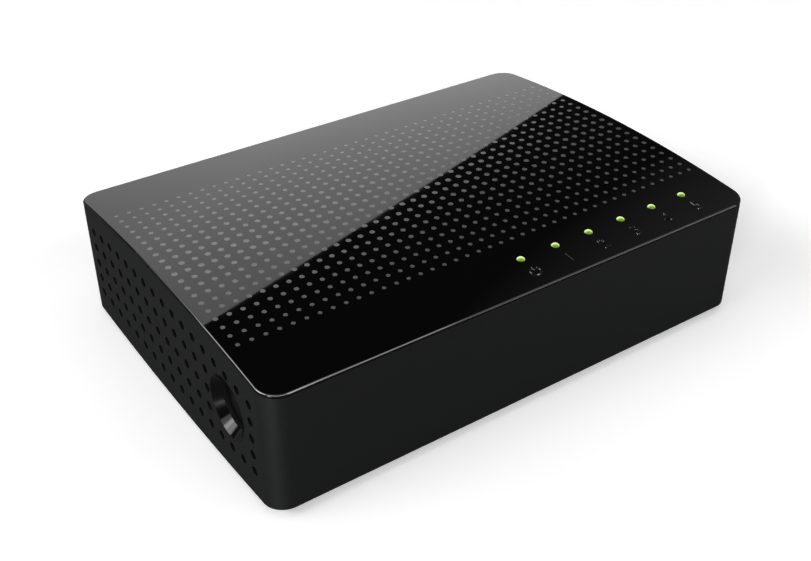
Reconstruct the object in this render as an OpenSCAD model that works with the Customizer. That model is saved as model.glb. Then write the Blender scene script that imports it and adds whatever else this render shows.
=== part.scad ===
/* [Case] */
// Rise of the top's crown above its front and rear edges
top_crown = 1.7; // [1:0.1:3]
// Fall of the underside's crown below its front and rear edges
bottom_crown = 1.1; // [0.6:0.1:2]
// Radius of the four upright corners
corner_r = 3; // [2.4:0.1:5]
// Thickness of the side walls
wall_t = 1.8; // [1.4:0.1:2.2]
// Thickness of the case floor
floor_t = 1.6; // [1.2:0.1:2.2]
// Thickness of the top cover inside its rim
cover_t = 1.8; // [1.4:0.1:2.6]
// Height of the cover's rim above the seam
rim_h = 0.35; // [0.3:0.05:1.2]
// Open seam between the cover's rim and the case wall
seam_gap = 0.1; // [0.05:0.05:0.3]
// Side clearance of the cover inside the case walls
cover_fit = 0.2; // [0.1:0.05:0.4]
// Free room beside the row of ports, at each end
side_room = 3.7; // [3.7:0.1:8]
// Radius of the four screw posts under the cover
post_r = 1.9; // [1.6:0.1:2.2]

/* [Side vents] */
// Diameter of a vent hole
vent_d = 1.3; // [0.8:0.1:1.8]
// Spacing of the vent columns
vent_pitch_y = 3; // [2.4:0.1:3.1]
// Spacing of the vent rows at the middle column
vent_pitch_z = 3.2; // [2.2:0.1:3.4]
// How much closer the rows lie at the end columns
vent_squeeze = 0.52; // [0:0.02:0.8]
// Vent columns on each side wall
vent_cols = 17; // [5:2:17]
// Vent rows on each side wall
vent_rows = 5; // [3:2:5]

/* [Feet] */
// Diameter of a rubber foot
foot_d = 8; // [6:0.5:10]
// Thickness of a rubber foot
foot_h = 1.6; // [1.5:0.1:2]
// Height of the case's lowest line above the table
foot_drop = 0.6; // [0.4:0.1:1]
// Distance of a foot's centre from the case's sides
foot_inset = 9.5; // [9.3:0.1:14]

/* [Circuit board] */
// Thickness of the circuit board
board_t = 1.6; // [1:0.1:2]
// Height of the board above the floor at the rear wall
board_lift = 1.3; // [1:0.1:2.5]
// Clearance of the board inside the case walls
board_fit = 0.3; // [0.2:0.05:0.6]

/* [Network ports] */
// Number of ports in the row
port_count = 5; // [4:1:8]
// Spacing of the ports
port_pitch = 14; // [13.6:0.1:16]
// Height of the port housing
port_h = 11.8; // [11.4:0.1:14]
// Depth of the port housing
port_len = 16; // [15:0.1:19]
// Thickness of the housing's outer ends beyond the pitch
port_end = 0.5; // [0.3:0.1:1.5]
// Width of a plug socket
socket_w = 11.8; // [11.6:0.05:12.4]
// Height of a plug socket
socket_h = 7.1; // [6.9:0.05:7.3]
// Thickness of the floor under the sockets
socket_floor = 2; // [1.6:0.1:2.2]
// Width of the latch notch over a socket
latch_w = 6.3; // [5.8:0.1:7]
// Height of the latch notch
latch_h = 1.9; // [1.5:0.1:2]
// Depth of the latch notch from the mouth
latch_len = 9; // [7:0.5:11]
// How far the port faces stand back from the rear wall
port_inset = 0.4; // [0.2:0.1:1]
// Room above the port housing, under the cover
port_headroom = 0.2; // [0.2:0.1:1]
// Thickness and width of a contact wire
wire_t = 0.35; // [0.25:0.05:0.45]
// Spacing of the contact wires
contact_pitch = 1.02; // [0.9:0.02:1.2]
// Free length of a contact spring
spring_l = 6.5; // [5:0.1:7]
// Slope of a contact spring at rest, in degrees
spring_angle = 15; // [12:1:18]
// Distance of the spring's bend behind the port mouth
spring_setback = 3; // [2.5:0.1:4]

/* [Power inlet] */
// Diameter of the cone that leads into the left wall
inlet_d = 9.2; // [8:0.1:9.8]
// Depth of the cone
inlet_cone = 1.15; // [0.8:0.05:1.5]
// Diameter of the opening behind the cone
inlet_throat_d = 7.1; // [6.4:0.1:7.6]
// Distance of the inlet's axis from the front face
inlet_from_front = 11.2; // [11:0.1:14]
// Height of the jack's axis above the board
jack_axis_h = 5.3; // [4.9:0.05:6]
// Length of the jack body
jack_l = 12; // [11:0.1:14]
// Width of the jack body
jack_w = 9.6; // [9:0.1:10]
// Diameter of the plug hole
jack_bore_d = 3.9; // [3.6:0.1:4.4]
// Depth of the plug hole
jack_bore_l = 10; // [9:0.1:10.5]
// Diameter of the centre pin
pin_d = 1.3; // [1:0.05:1.5]
// How far the pin's tip lies inside the jack's face
pin_inset = 1.5; // [1:0.1:2.5]
// Free length of the sleeve contact's leaf
leaf_l = 6; // [5:0.1:6.4]
// Slope of the leaf at rest, in degrees
leaf_angle = 12; // [11:0.5:13]

/* [Indicator lights] */
// Spacing of the indicator lights
led_pitch = 6.18; // [5:0.02:6.4]
// Distance of the lights from the front face
led_from_front = 6.1; // [6:0.1:8]
// Distance of the last light from the right side
led_from_right = 8.2; // [8.2:0.1:12]
// Diameter of a light pipe
led_d = 1.2; // [1:0.05:2]
// Height of a light pipe's dome over the cover
led_dome = 0.3; // [0.1:0.05:0.4]
// Radial clearance of a light pipe in the cover
led_fit = 0.04; // [0.02:0.01:0.1]

/* [Board layout] */
// Gap from the line of lights to the heat sink
led_to_sink = 3.7; // [3.4:0.1:8]
// Width of the heat sink
sink_w = 16; // [12:0.5:18]
// Depth of the heat sink
sink_d = 14; // [12:0.5:18]
// Height of the heat sink
sink_h = 6; // [4:0.5:8]
// Gap from the heat sink to the port transformers
sink_gap = 1.8; // [1.6:0.1:6]
// Length of a port transformer
transformer_l = 15.2; // [14.6:0.1:17]
// Gap from the port transformers to the port housing
port_gap = 0.8; // [0.6:0.1:3]

/* [Hidden] */
$fn = 48;

// Overall size, from what the case holds
port_block_w = port_count * port_pitch + 2 * port_end;
body_w = port_block_w + 2 * (side_room + wall_t);
body_d = led_from_front + led_to_sink + sink_d + sink_gap + transformer_l + port_gap
    + port_len + port_inset;
edge_h = floor_t + board_lift + board_t + port_h + port_headroom + cover_t;
half_w = body_w / 2;
half_d = body_d / 2;

// Heights over the table
edge_bottom_z = foot_drop + bottom_crown;
edge_top_z = edge_bottom_z + edge_h;
peak_z = edge_top_z + top_crown;
board_z = edge_bottom_z + floor_t + board_lift + board_t;
board_under_z = board_z - board_t;

// Arcs of the crowned top and underside, seen from the side
top_arc_r = (half_d * half_d + top_crown * top_crown) / (2 * top_crown);
bottom_arc_r = (half_d * half_d + bottom_crown * bottom_crown) / (2 * bottom_crown);
arc_fn = 720;
function top_z(y) = peak_z - top_arc_r + sqrt(top_arc_r * top_arc_r - y * y);
function bottom_z(y) = foot_drop + bottom_arc_r - sqrt(bottom_arc_r * bottom_arc_r - y * y);

// Length by which a cut runs past the face that it opens
past = 1;
// Smallest corner radius of an outline that is drawn in
least_corner_r = 0.4;
// Gap between a fixed piece and one that turns beside it
run_gap = 0.06;
// Gap between two fixed pieces that only lie side by side
lie_gap = 0.05;

// Screws
screw_r = 1;
screw_fit = 0.05;
screw_hole_r = 1.25;
screw_head_r = 1.8;
screw_head_h = 0.9;
screw_bite = 5;
head_fit = 0.3;
head_sink = 1;
boss_extra = 0.2;
boss_rise = 0.8;
notch_fit = 0.5;
boss_r = post_r + boss_extra;
boss_top_z = board_z + boss_rise;
notch_r = boss_r + notch_fit;
post_inset_x = 2.8;
post_inset_y = 2.3;
rear_post_setback = 4.1;
front_post_y = -half_d + wall_t + post_inset_y;
rear_post_y = half_d - port_inset - port_len - rear_post_setback;
post_x = half_w - wall_t - post_inset_x;
posts = [[-post_x, front_post_y], [post_x, front_post_y],
    [-post_x, rear_post_y], [post_x, rear_post_y]];
board_screw_r = 0.85;
board_screw_l = 3.1;
board_screw_head_r = 1.7;
board_screw_head_h = 1.1;
board_hole_r = 1.1;
stand_r = 2.3;
pilot_end = 0.3;
cross_w = 0.5;
cross_l = 1.9;
cross_depth = 0.5;

// Indicator lights and their pipes
led_count = port_count + 1;
led_y = -half_d + led_from_front;
function led_x(i) = half_w - led_from_right - (led_count - 1 - i) * led_pitch;
led_size = [1.6, 0.8, 0.6];
pipe_gap = 0.3;
runner_size = [1.8, 1.2];
runner_under_cover = 1.4;
dome_r = (led_d * led_d / 4 + led_dome * led_dome) / (2 * led_dome);

// Ports
mouth_y = half_d - port_inset;
port_back_y = mouth_y - port_len;
function port_x(i) = (i - (port_count - 1) / 2) * port_pitch;
socket_z = board_z + socket_floor;
carrier_l = 4.6;
tail_slot_l = 3.6;
contacts = 8;
tail_out = 1;
tail_rows = [1, 2.6];
tail_hole_r = 0.45;
bend_r = 0.45;
bend_rise = 0.35;
lead_z = socket_z + lie_gap;
bend_z = lead_z + wire_t + bend_rise;
bend_y = mouth_y - spring_setback;
window_fit = 0.25;
function contact_x(i, k) = port_x(i) + (k - (contacts - 1) / 2) * contact_pitch;
function tail_y(k) = port_back_y + tail_rows[k % 2];

// Side vents: how far the middle of their pattern lies from the middle of the wall
vent_shift = [-0.2, -0.1];

// Power inlet
inlet_y = -half_d + inlet_from_front;
jack_z = board_z + jack_axis_h;
jack_x = -half_w + wall_t + lie_gap;
jack_end_x = jack_x + jack_l;
jack_cap = 4.8;
mouth_bevel = 0.68;
pin_root_r = 0.9;
pin_root_out = 0.5;
pin_tail = [0.5, 1.6];
leaf_w = 1.6;
leaf_t = 0.25;
leaf_drop = 2.75;
leaf_setback = 0.8;
leaf_slot_depth = 3.4;
leaf_slot_side = 0.3;
leaf_bend_r = 0.4;
leaf_tail_t = 0.5;
leaf_x = jack_x + jack_bore_l - leaf_setback;
leaf_z = jack_z - leaf_drop;
tail_fit = 0.2;

// Bought-in parts on the board: width, depth and height
chip_size = [10, 10, 0.9];
pad_size = [10, 10, 0.4];
sink_x = 8;
sink_y = led_y + led_to_sink + sink_d / 2;
sink_base = 1.6;
fin_count = 6;
fin_t = 1;
transformer_w = 7.4;
transformer_h = 5.6;
transformer_stand = 0.15;
transformer_y = port_back_y - port_gap - transformer_l / 2;
lead_count = 12;
lead_pitch = 1.2;
lead_size = [1.3, 0.4, 0.15];
lead_riser_h = 2.4;
crystal_l = 10.2;
crystal_d = 4.2;
crystal_h = 3.5;
memory_size = [5, 4, 1.6];
regulator_size = [5, 4, 1.6];
inductor_size = [6, 6, 2.8];
diode_size = [4.3, 2.6, 2.2];
can_r = 3.15;
can_h = 7.5;
can_base = [6.6, 6.6, 0.9];
chip_part_size = [1, 0.5, 0.45];
chip_part_pitch = 3;
resistor_count = 10;
capacitor_count = 4;

// Places on the board, from the jack, the heat sink and the walls
part_gap = 1.4;
can_x = jack_end_x + part_gap + can_base[0] / 2 + pin_root_out;
can_places = [[can_x, inlet_y - can_base[1] / 2], [can_x, inlet_y + can_base[1] / 2 + part_gap]];
power_x = can_x + can_base[0] / 2 + part_gap + inductor_size[0] / 2;
inductor_place = [power_x, inlet_y];
regulator_place = [power_x, inlet_y + inductor_size[1] / 2 + part_gap + regulator_size[1] / 2];
diode_place = [jack_x + jack_l / 2 + part_gap, inlet_y + jack_w / 2 + part_gap + diode_size[1] / 2];
crystal_place = [sink_x + sink_w / 2 + part_gap + crystal_l / 2, sink_y + sink_d / 4];
memory_place = [sink_x + sink_w / 2 + part_gap + memory_size[0] / 2, sink_y - sink_d / 4];
board_screw_setback = 6;
front_screw_gap = 8;
rear_stand_x = (port_count - 2) / 2 * port_pitch;
board_screw_y = transformer_y - transformer_l / 2 - board_screw_head_r - part_gap / 2;
board_screw_places = [[-half_w + wall_t + board_screw_setback, board_screw_y],
    [half_w - wall_t - board_screw_setback, board_screw_y],
    [led_x(0) - front_screw_gap, led_y]];
rear_stand_places = [[-rear_stand_x, half_d - foot_inset], [rear_stand_x, half_d - foot_inset]];

// Plan of the case, drawn in by inset on all sides
module outline(inset) {
    w = half_w - inset;
    d = half_d - inset;
    r = max(corner_r - inset, least_corner_r);
    square([2 * (w - r), 2 * d], center = true);
    square([2 * w, 2 * (d - r)], center = true);
    for (sx = [-1, 1], sy = [-1, 1])
        translate([sx * (w - r), sy * (d - r)])
            circle(r);
}

// Upright block with the plan of the case, taller than the case
module plan_block(inset) {
    translate([0, 0, -past])
        linear_extrude(height = peak_z + 2 * past)
            outline(inset);
}

// All that lies under the crowned top, lowered by drop
module under_top(drop) {
    translate([0, 0, peak_z - drop - top_arc_r])
        rotate([0, 90, 0])
            cylinder(r = top_arc_r, h = 2 * body_w, center = true, $fn = arc_fn);
}

// All that lies above the crowned underside, raised by lift
module over_bottom(lift) {
    translate([0, 0, foot_drop + lift + bottom_arc_r])
        rotate([0, 90, 0])
            cylinder(r = bottom_arc_r, h = 2 * body_w, center = true, $fn = arc_fn);
}

// Block on the board, centred on a place
module board_block(place, size, lift = 0) {
    translate([place[0] - size[0] / 2, place[1] - size[1] / 2, board_z + lift])
        cube(size);
}

// Round hole or rod that runs along X
module rod_x(x, y, z, r, l) {
    translate([x, y, z])
        rotate([0, 90, 0])
            cylinder(r = r, h = l);
}

// Cross recess in a screw head, cut upwards from z
module cross_recess(z, depth) {
    for (a = [0, 90])
        rotate(a)
            translate([-cross_l / 2, -cross_w / 2, z])
                cube([cross_l, cross_w, depth]);
}

// Gloss cover: crowned plate with a stepped rim, screw posts and light pipe holes
module top_cover() {
    color("#101112")
    difference() {
        union() {
            difference() {
                intersection() {
                    plan_block(0);
                    under_top(0);
                }
                under_top(cover_t);
                intersection() {
                    difference() {
                        plan_block(-past);
                        plan_block(wall_t + cover_fit);
                    }
                    under_top(rim_h);
                }
            }
            for (p = posts)
                intersection() {
                    translate([p[0], p[1], boss_top_z])
                        cylinder(r = post_r, h = peak_z - boss_top_z);
                    under_top(rim_h);
                }
        }
        for (p = posts)
            translate([p[0], p[1], boss_top_z - past])
                cylinder(r = screw_r + screw_fit, h = screw_bite + pilot_end + past);
        for (i = [0 : led_count - 1])
            translate([led_x(i), led_y, boss_top_z])
                cylinder(r = led_d / 2 + led_fit, h = peak_z);
    }
}

// Round vent holes through one side wall, left out where the inlet lies
module vents(side) {
    for (i = [0 : vent_cols - 1], k = [0 : vent_rows - 1]) {
        reach = (vent_cols - 1) / 2 * vent_pitch_y;
        along = (i - (vent_cols - 1) / 2) * vent_pitch_y;
        step = vent_pitch_z - vent_squeeze * (along / reach) * (along / reach);
        y = along + vent_shift[0];
        z = (foot_drop + peak_z) / 2 + (k - (vent_rows - 1) / 2) * step + vent_shift[1];
        clear = norm([y - inlet_y, z - jack_z]) > (inlet_d + vent_d) / 2;
        if (side > 0 || clear)
            rod_x(side > 0 ? half_w - wall_t - past / 2 : -half_w - past / 2, y, z,
                vent_d / 2, wall_t + past);
    }
}

// Walls and floor of the case, open at the top
module case_shell() {
    difference() {
        intersection() {
            plan_block(0);
            under_top(rim_h + seam_gap);
            over_bottom(0);
        }
        intersection() {
            plan_block(wall_t);
            over_bottom(floor_t);
        }
    }
}

// Matte case: walls, floor, screw bosses and board stands, with the inlet's cone
module bottom_case() {
    color("#232625")
    difference() {
        union() {
            case_shell();
            intersection() {
                union() {
                    for (p = posts)
                        translate([p[0], p[1], 0])
                            cylinder(r = boss_r, h = boss_top_z);
                    for (p = concat(board_screw_places, rear_stand_places))
                        translate([p[0], p[1], 0])
                            cylinder(r = stand_r, h = board_under_z);
                }
                over_bottom(floor_t / 2);
            }
        }
        for (p = posts)
            translate([p[0], p[1], 0]) {
                cylinder(r = screw_hole_r, h = boss_top_z + past);
                translate([0, 0, -past])
                    cylinder(r = screw_head_r + head_fit, h = bottom_z(p[1]) + head_sink + past);
            }
        for (p = board_screw_places)
            translate([p[0], p[1], board_z - board_screw_l - pilot_end])
                cylinder(r = board_screw_r + screw_fit, h = board_screw_l);
        for (sx = [-1, 1], sy = [-1, 1])
            translate([sx * (half_w - foot_inset), sy * (half_d - foot_inset), -past])
                cylinder(d = foot_d + head_fit, h = foot_h + past);
        translate([-port_block_w / 2 - window_fit, mouth_y - wall_t - past, board_z - window_fit])
            cube([port_block_w + 2 * window_fit, wall_t + 3 * past, port_h + 2 * window_fit]);
        rod_x(-half_w - past, inlet_y, jack_z, inlet_throat_d / 2, wall_t + 2 * past);
        translate([-half_w, inlet_y, jack_z])
            rotate([0, 90, 0])
                cylinder(r1 = inlet_d / 2, r2 = inlet_throat_d / 2, h = inlet_cone);
        vents(-1);
        vents(1);
    }
}

// Clear light pipe: one domed rod for each light, on a common runner
module light_pipe() {
    color("#b9dc4e")
    union() {
        for (i = [0 : led_count - 1])
            translate([led_x(i), led_y, 0])
                intersection() {
                    translate([0, 0, board_z + led_size[2] + pipe_gap])
                        cylinder(d = led_d, h = peak_z);
                    union() {
                        cylinder(r = dome_r, h = top_z(led_y) + led_dome - dome_r);
                        translate([0, 0, top_z(led_y) + led_dome - dome_r])
                            sphere(dome_r);
                    }
                }
        translate([led_x(0), led_y - runner_size[0] / 2,
            top_z(led_y) - cover_t - runner_under_cover - runner_size[1]])
            cube([led_x(led_count - 1) - led_x(0), runner_size[0], runner_size[1]]);
    }
}

// Rubber foot, glued into its recess
module foot(sx, sy) {
    color("#1b1b1b")
        translate([sx * (half_w - foot_inset), sy * (half_d - foot_inset), 0])
            cylinder(d = foot_d, h = foot_h);
}

// Self-tapping screws that come up through the floor into the cover's posts
module case_screws() {
    color("#8c8f92")
    for (p = posts) {
        seat_z = bottom_z(p[1]) + head_sink;
        translate([p[0], p[1], 0])
            difference() {
                union() {
                    translate([0, 0, seat_z - screw_head_h])
                        cylinder(r = screw_head_r, h = screw_head_h);
                    translate([0, 0, seat_z - screw_head_h / 2])
                        cylinder(r = screw_r, h = boss_top_z + screw_bite - seat_z);
                }
                cross_recess(seat_z - screw_head_h - past, cross_depth + past);
            }
    }
}

// Screws that hold the board on its stands
module board_screws() {
    color("#a9acae")
    for (p = board_screw_places)
        translate([p[0], p[1], board_z])
            difference() {
                union() {
                    cylinder(r = board_screw_head_r, h = board_screw_head_h);
                    translate([0, 0, -board_screw_l])
                        cylinder(r = board_screw_r, h = board_screw_l + board_screw_head_h / 2);
                }
                cross_recess(board_screw_head_h - cross_depth, cross_depth + past);
            }
}

// Circuit board, notched round the posts and drilled for screws and solder tails
module circuit_board() {
    edge = wall_t + board_fit;
    color("#1f5a35")
    difference() {
        translate([0, 0, board_under_z])
            linear_extrude(height = board_t)
                outline(edge);
        for (p = posts)
            translate([p[0], p[1], board_under_z - past])
                cylinder(r = notch_r, h = board_t + 2 * past);
        for (sx = [-1, 1])
            translate([sx * (half_w - edge - notch_r / 2), rear_post_y, board_z - board_t / 2])
                cube([notch_r + 2 * past, 2 * notch_r, board_t + 2 * past], center = true);
        for (sx = [-1, 1])
            translate([sx * (half_w - edge), -half_d + edge, board_z - board_t / 2])
                cube([2 * (post_inset_x + notch_r), 2 * (post_inset_y + notch_r - board_fit),
                    board_t + 2 * past], center = true);
        for (p = board_screw_places)
            translate([p[0], p[1], board_under_z - past])
                cylinder(r = board_hole_r, h = board_t + 2 * past);
        for (i = [0 : port_count - 1], k = [0 : contacts - 1])
            translate([contact_x(i, k), tail_y(k) + wire_t / 2, board_under_z - past])
                cylinder(r = tail_hole_r, h = board_t + 2 * past, $fn = 16);
        translate([jack_end_x + lie_gap - tail_fit, inlet_y - pin_tail[1] / 2 - tail_fit,
            board_under_z - past])
            cube([pin_tail[0] + 2 * tail_fit, pin_tail[1] + 2 * tail_fit, board_t + 2 * past]);
        translate([leaf_x - leaf_tail_t / 4 - tail_fit, inlet_y - leaf_w / 2 - tail_fit,
            board_under_z - past])
            cube([leaf_tail_t + 2 * tail_fit, leaf_w + 2 * tail_fit, board_t + 2 * past]);
    }
}

// Moulded housing of the row of ports: one socket with a latch notch for each plug
module port_housing() {
    color("#2b2c2e")
    difference() {
        translate([-port_block_w / 2, port_back_y, board_z])
            cube([port_block_w, port_len, port_h]);
        for (i = [0 : port_count - 1])
            translate([port_x(i), 0, 0]) {
                translate([-socket_w / 2, port_back_y - past, socket_z])
                    cube([socket_w, port_len + 2 * past, socket_h]);
                translate([-latch_w / 2, mouth_y - latch_len, socket_z + socket_h - past])
                    cube([latch_w, latch_len + past, latch_h + past]);
                translate([-socket_w / 2, port_back_y - past, board_z - past])
                    cube([socket_w, tail_slot_l + past, socket_floor + 2 * past]);
            }
    }
}

// Insert that closes the back of one socket and holds its leads down
module port_carrier(i) {
    low_z = lead_z + wire_t + lie_gap;
    color("#3a3c3e")
        translate([port_x(i) - socket_w / 2 + lie_gap, port_back_y, low_z])
            cube([socket_w - 2 * lie_gap, carrier_l, socket_z + socket_h - lie_gap - low_z]);
}

// Fixed length of one contact wire: solder tail, floor run and the bend at the mouth
module port_lead(x, back_y) {
    translate([x - wire_t / 2, 0, 0]) {
        translate([0, back_y, board_under_z - tail_out])
            cube([wire_t, wire_t, lead_z + wire_t - board_under_z + tail_out]);
        translate([0, back_y, lead_z])
            cube([wire_t, bend_y + bend_r / 2 - back_y, wire_t]);
        translate([0, bend_y + bend_r / 2 - wire_t, lead_z])
            cube([wire_t, wire_t, bend_z - lead_z]);
        rod_x(0, bend_y, bend_z, bend_r, wire_t);
    }
}

module port_leads() {
    color("#c9a24a")
    for (i = [0 : port_count - 1], k = [0 : contacts - 1])
        port_lead(contact_x(i, k), tail_y(k));
}

// Free springs of one port's contact wires, which sink when a plug goes in
module contact_springs(i) {
    color("#d8b25a")
    for (k = [0 : contacts - 1])
        translate([contact_x(i, k) - wire_t / 2, bend_y, bend_z])
            difference() {
                rotate([-spring_angle, 0, 0])
                    translate([0, -spring_l, -wire_t / 2])
                        cube([wire_t, spring_l, wire_t]);
                rod_x(-past, 0, 0, bend_r + run_gap, wire_t + 2 * past);
            }
}

// Body of the power jack, with the plug hole and the slot of the leaf contact
module jack_body() {
    color("#151515")
    difference() {
        translate([jack_x, inlet_y - jack_w / 2, board_z])
            cube([jack_l, jack_w, jack_axis_h + jack_cap]);
        rod_x(jack_x - past, inlet_y, jack_z, jack_bore_d / 2, jack_bore_l + past);
        translate([jack_x, inlet_y, jack_z])
            rotate([0, 90, 0])
                cylinder(r1 = jack_bore_d / 2 + mouth_bevel, r2 = jack_bore_d / 2, h = mouth_bevel);
        rod_x(jack_x + jack_bore_l - past, inlet_y, jack_z, pin_root_r + lie_gap, jack_l);
        translate([leaf_x - leaf_l - past, inlet_y - leaf_w / 2 - leaf_slot_side,
            jack_z - leaf_slot_depth])
            cube([leaf_l + past + leaf_setback, leaf_w + 2 * leaf_slot_side, leaf_slot_depth]);
        translate([leaf_x - leaf_tail_t / 4 - tail_fit, inlet_y - leaf_w / 2 - leaf_slot_side,
            board_z - past])
            cube([leaf_tail_t + 2 * tail_fit, leaf_w + 2 * leaf_slot_side, jack_axis_h]);
    }
}

// Centre pin of the jack, with its root in the body and its solder tail behind
module jack_pin() {
    root_x = jack_x + jack_bore_l;
    tail_x = jack_end_x + lie_gap;
    color("#cfd2d4")
    union() {
        rod_x(jack_x + pin_inset, inlet_y, jack_z, pin_d / 2, jack_bore_l - pin_inset + past / 2);
        rod_x(root_x, inlet_y, jack_z, pin_root_r, tail_x + pin_tail[0] / 2 - root_x);
        translate([tail_x, inlet_y - pin_tail[1] / 2, board_under_z - tail_out])
            cube([pin_tail[0], pin_tail[1], jack_z + pin_root_r + tail_out - board_under_z]);
    }
}

// Fixed end of the sleeve contact: the bend that the leaf swings on, and its solder tail
module jack_leaf_terminal() {
    color("#bfc2c4")
    union() {
        translate([leaf_x, inlet_y - leaf_w / 2, leaf_z])
            rotate([-90, 0, 0])
                cylinder(r = leaf_bend_r, h = leaf_w);
        translate([leaf_x - leaf_tail_t / 4, inlet_y - leaf_w / 2, board_under_z - tail_out])
            cube([leaf_tail_t, leaf_w, leaf_z + tail_out - board_under_z]);
    }
}

// Leaf of the sleeve contact, which a plug's barrel presses down
module jack_leaf() {
    color("#d2d5d7")
    translate([leaf_x, inlet_y, leaf_z])
        difference() {
            rotate([0, leaf_angle, 0])
                translate([-leaf_l, -leaf_w / 2, -leaf_t / 2])
                    cube([leaf_l, leaf_w, leaf_t]);
            rotate([90, 0, 0])
                cylinder(r = leaf_bend_r + run_gap, h = leaf_w + 2 * past, center = true);
        }
}

module switch_chip() {
    color("#1c1d1f")
        board_block([sink_x, sink_y], chip_size);
}

module thermal_pad() {
    color("#8fa3b5")
        board_block([sink_x, sink_y], pad_size, chip_size[2]);
}

// Finned heat sink, stuck on the chip by the thermal pad
module heat_sink() {
    lift = chip_size[2] + pad_size[2];
    fin_step = (sink_w - fin_t) / (fin_count - 1);
    color("#9aa0a6")
    union() {
        board_block([sink_x, sink_y], [sink_w, sink_d, sink_base], lift);
        for (i = [0 : fin_count - 1])
            board_block([sink_x - (sink_w - fin_t) / 2 + i * fin_step, sink_y],
                [fin_t, sink_d, sink_h], lift);
    }
}

// Line transformer of one port
module transformer(i) {
    color("#202124")
        board_block([port_x(i), transformer_y],
            [transformer_w, transformer_l, transformer_h], transformer_stand);
}

// Gull-wing leads of the transformers
module transformer_leads() {
    color("#b8bbbd")
    for (i = [0 : port_count - 1], side = [-1, 1], k = [0 : lead_count - 1]) {
        y = transformer_y + (k - (lead_count - 1) / 2) * lead_pitch;
        side_x = port_x(i) + side * transformer_w / 2;
        union() {
            board_block([side_x + side * lead_size[0] / 2, y], lead_size);
            board_block([side_x + side * lead_size[2] / 2, y],
                [lead_size[2], lead_size[1], lead_riser_h]);
        }
    }
}

// Crystal in its round-ended metal can
module crystal() {
    color("#c4c7c9")
    union() {
        board_block(crystal_place, [crystal_l - crystal_d, crystal_d, crystal_h]);
        for (side = [-1, 1])
            translate([crystal_place[0] + side * (crystal_l - crystal_d) / 2, crystal_place[1], board_z])
                cylinder(d = crystal_d, h = crystal_h);
    }
}

module setup_memory() {
    color("#1c1d1f")
        board_block(memory_place, memory_size);
}

module voltage_regulator() {
    color("#1c1d1f")
        board_block(regulator_place, regulator_size);
}

module power_inductor() {
    color("#3b3d40")
        board_block(inductor_place, inductor_size);
}

module input_diode() {
    color("#26272a")
        board_block(diode_place, diode_size);
}

// Aluminium can capacitors on their square bases
module electrolytic_capacitors() {
    color("#b5b8ba")
    for (p = can_places)
        union() {
            board_block(p, can_base);
            translate([p[0], p[1], board_z])
                cylinder(r = can_r, h = can_h);
        }
}

module chip_capacitors() {
    color("#a98b62")
    for (i = [0 : capacitor_count - 1])
        board_block([sink_x + (i - (capacitor_count - 1) / 2) * chip_part_pitch,
            sink_y - chip_size[1] / 2 - chip_part_size[1] / 2 - lie_gap], chip_part_size);
}

module chip_resistors() {
    color("#2a2b2d")
    for (i = [0 : resistor_count - 1])
        board_block([(i - (resistor_count - 1) / 2) * chip_part_pitch,
            sink_y + sink_d / 2 + sink_gap / 2], chip_part_size);
}

module indicator_leds() {
    color("#e8ead8")
    for (i = [0 : led_count - 1])
        board_block([led_x(i), led_y], led_size);
}

top_cover();
bottom_case();
light_pipe();
foot(-1, -1);  // foot_front_left
foot(1, -1);  // foot_front_right
foot(-1, 1);  // foot_rear_left
foot(1, 1);  // foot_rear_right
case_screws();
board_screws();
circuit_board();
port_housing();
port_carrier(0);  // port_carrier_1
port_carrier(1);  // port_carrier_2
port_carrier(2);  // port_carrier_3
port_carrier(3);  // port_carrier_4
port_carrier(4);  // port_carrier_5
port_leads();
contact_springs(0);  // contact_springs_1
contact_springs(1);  // contact_springs_2
contact_springs(2);  // contact_springs_3
contact_springs(3);  // contact_springs_4
contact_springs(4);  // contact_springs_5
jack_body();
jack_pin();
jack_leaf_terminal();
jack_leaf();
switch_chip();
thermal_pad();
heat_sink();
transformer(0);  // transformer_1
transformer(1);  // transformer_2
transformer(2);  // transformer_3
transformer(3);  // transformer_4
transformer(4);  // transformer_5
transformer_leads();
crystal();
setup_memory();
voltage_regulator();
power_inductor();
input_diode();
electrolytic_capacitors();
chip_capacitors();
chip_resistors();
indicator_leds();
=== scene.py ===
import math

import bmesh
import bpy
from mathutils import Matrix, Vector


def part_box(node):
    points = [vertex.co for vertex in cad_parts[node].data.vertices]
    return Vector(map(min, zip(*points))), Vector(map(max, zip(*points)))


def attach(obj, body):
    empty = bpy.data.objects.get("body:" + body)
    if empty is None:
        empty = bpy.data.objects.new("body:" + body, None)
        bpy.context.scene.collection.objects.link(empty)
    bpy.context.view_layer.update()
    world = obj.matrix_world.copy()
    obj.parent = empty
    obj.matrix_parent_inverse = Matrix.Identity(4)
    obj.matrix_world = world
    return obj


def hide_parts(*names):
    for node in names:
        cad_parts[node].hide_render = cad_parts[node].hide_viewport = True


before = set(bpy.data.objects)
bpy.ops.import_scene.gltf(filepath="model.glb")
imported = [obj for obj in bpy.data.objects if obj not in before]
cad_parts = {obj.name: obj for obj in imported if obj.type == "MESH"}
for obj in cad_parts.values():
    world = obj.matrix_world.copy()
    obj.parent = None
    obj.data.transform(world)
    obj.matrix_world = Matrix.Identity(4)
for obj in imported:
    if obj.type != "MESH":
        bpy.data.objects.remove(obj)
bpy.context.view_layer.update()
scene = bpy.context.scene
scene.view_settings.view_transform = "Standard"
MM = 0.001


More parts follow.
